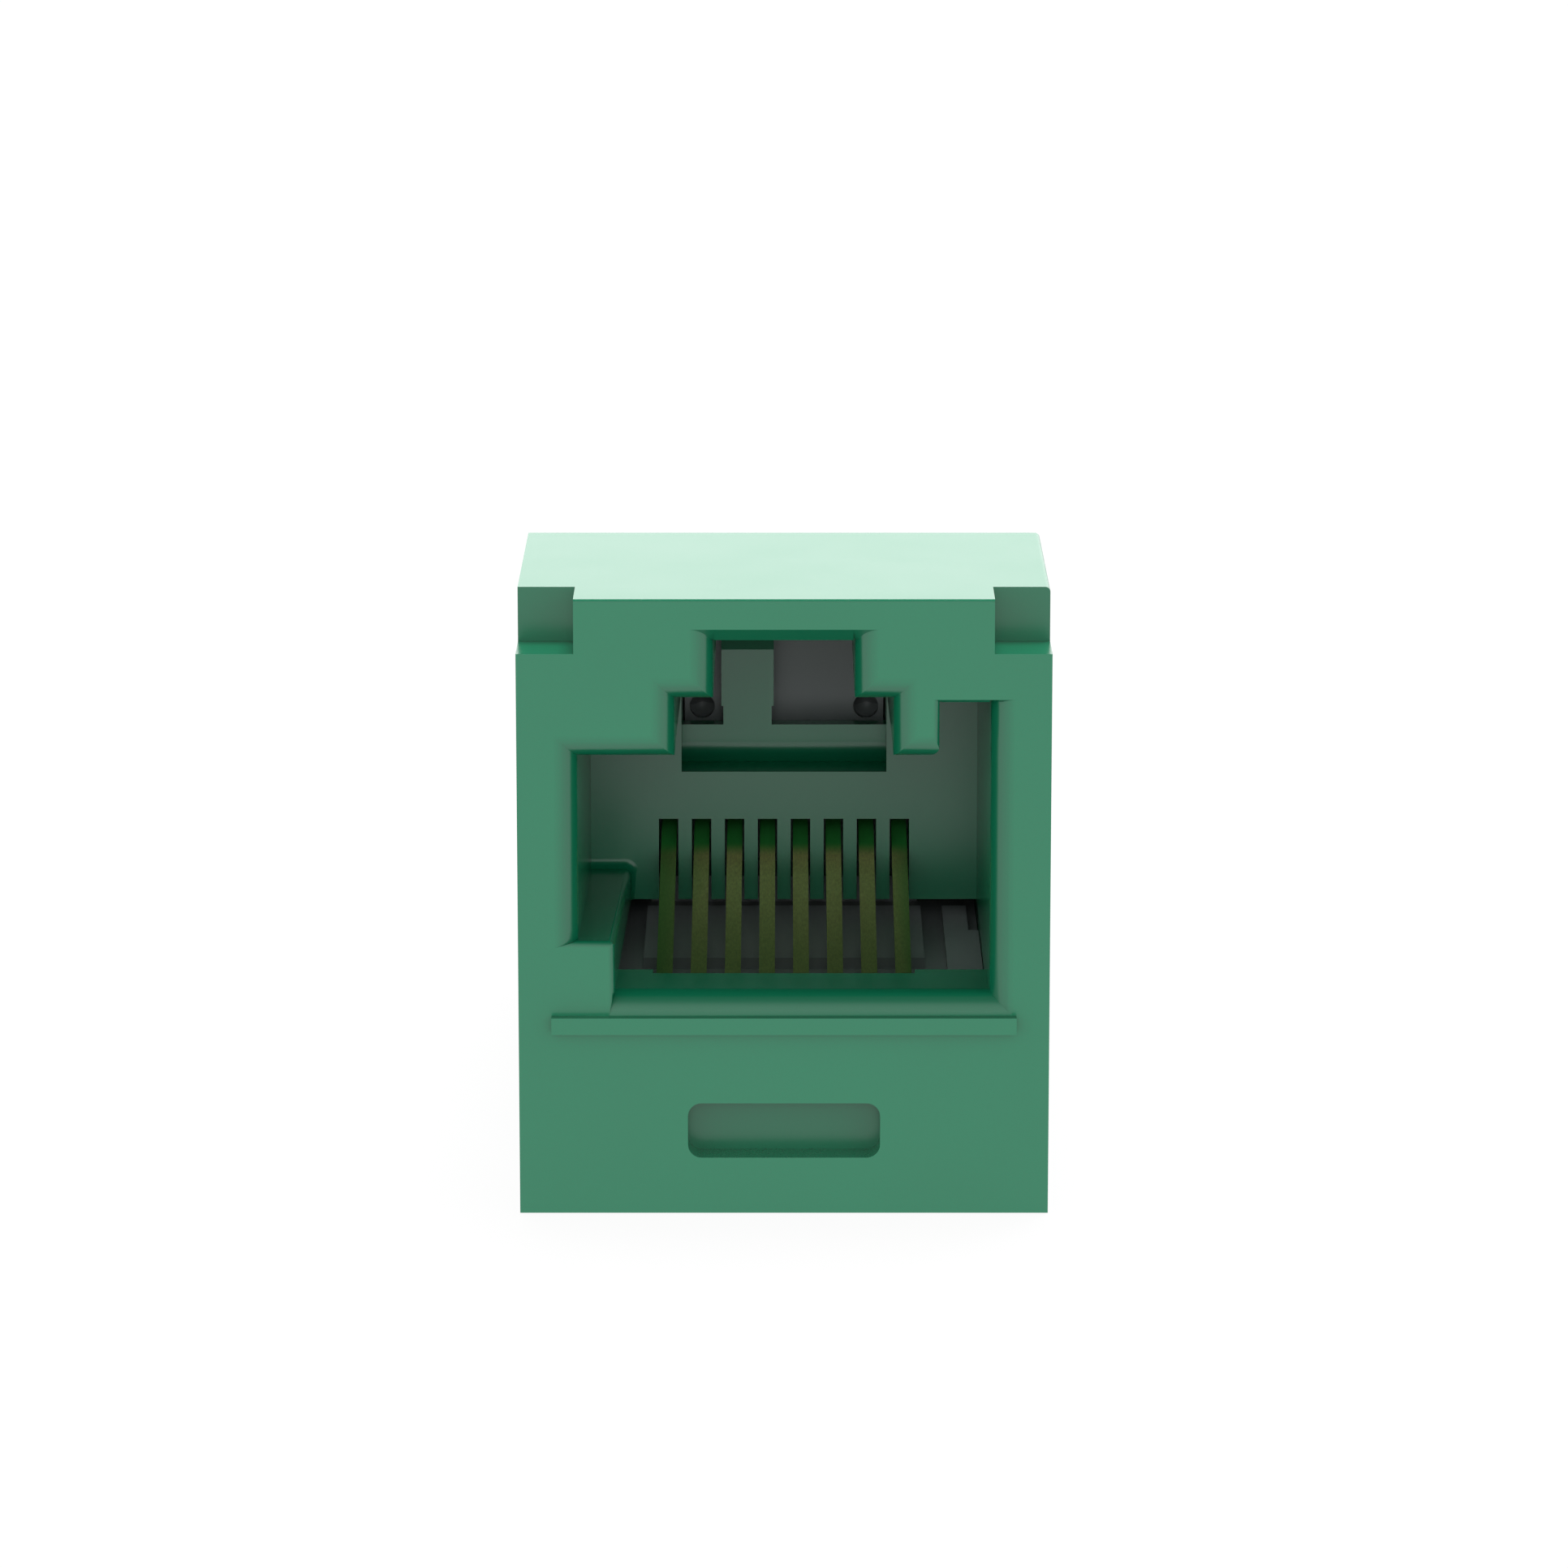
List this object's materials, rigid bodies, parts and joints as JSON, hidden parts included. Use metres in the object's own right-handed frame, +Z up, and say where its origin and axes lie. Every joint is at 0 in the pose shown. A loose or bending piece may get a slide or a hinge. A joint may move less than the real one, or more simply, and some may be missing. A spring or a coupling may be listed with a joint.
{
  "type": "keystone jack",
  "caption": "Snap-in modular jack with a keyed plug port, sprung plated contacts in a comb, a wire terminal block and a pressed-on cable cap.",
  "frame": {"origin": "middle of the part's footprint, on the surface it stands on", "axes": "+Z up, -Y out of the plug port's face, +Y towards the cable cap, +X to the right seen from the front"},
  "size_m": [0.0154, 0.0304, 0.0183],
  "materials": {
    "green_plastic": "smooth moulded, glossy",
    "black_plastic": "smooth moulded, satin",
    "gold_plate": "selective gold plating, fine drawn grain",
    "tin_plate": "matt tin plating",
    "board": "solder-masked glass laminate"
  },
  "bodies": {
    "root": {"front_housing": "green_plastic", "contact_carrier": "black_plastic", "circuit_board": "board", "idc_block": "black_plastic", "wire_cap": "black_plastic", "plug_contact_1": "gold_plate", "plug_contact_2": "gold_plate", "plug_contact_3": "gold_plate", "plug_contact_4": "gold_plate", "plug_contact_5": "gold_plate", "plug_contact_6": "gold_plate", "plug_contact_7": "gold_plate", "plug_contact_8": "gold_plate", "idc_terminal_1": "tin_plate", "idc_terminal_2": "tin_plate", "idc_terminal_3": "tin_plate", "idc_terminal_4": "tin_plate", "idc_terminal_5": "tin_plate", "idc_terminal_6": "tin_plate", "idc_terminal_7": "tin_plate", "idc_terminal_8": "tin_plate"}
  },
  "joints": []
}
